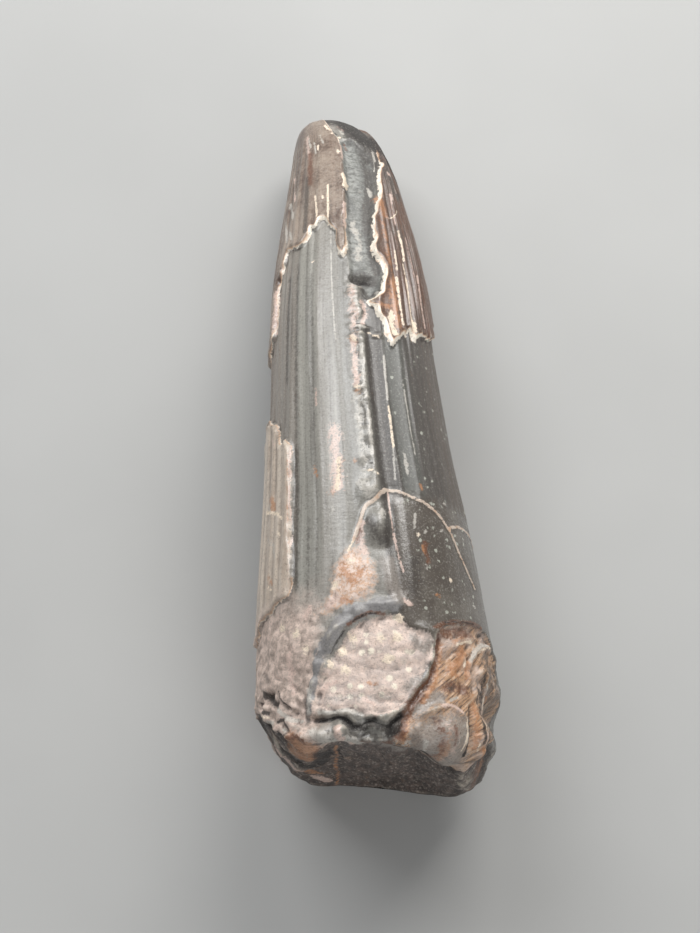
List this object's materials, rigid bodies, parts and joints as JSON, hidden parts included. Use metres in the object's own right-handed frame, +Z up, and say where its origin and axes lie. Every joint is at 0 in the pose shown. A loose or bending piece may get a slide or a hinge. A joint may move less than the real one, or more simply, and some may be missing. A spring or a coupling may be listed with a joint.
{
  "type": "fossil suchomimus tooth",
  "caption": "Fossil suchomimus tooth, a curved fluted cone with a torn root end, lying with its outer curve up on two small worn flats.",
  "frame": {"origin": "middle of the bounding box at its lowest height, on the surface that the tooth lies on", "axes": "+Y along the tooth towards its tip, +Z up through its outer curve, +X to the right seen from the root end"},
  "size_m": [0.0108, 0.0326, 0.0112],
  "materials": {
    "mineralised_tooth": "dark grey-brown mineralised tooth, half polished, with broken brown enamel, cream edges and a granular pinkish root"
  },
  "bodies": {
    "root": {"tooth": "mineralised_tooth"}
  },
  "joints": []
}
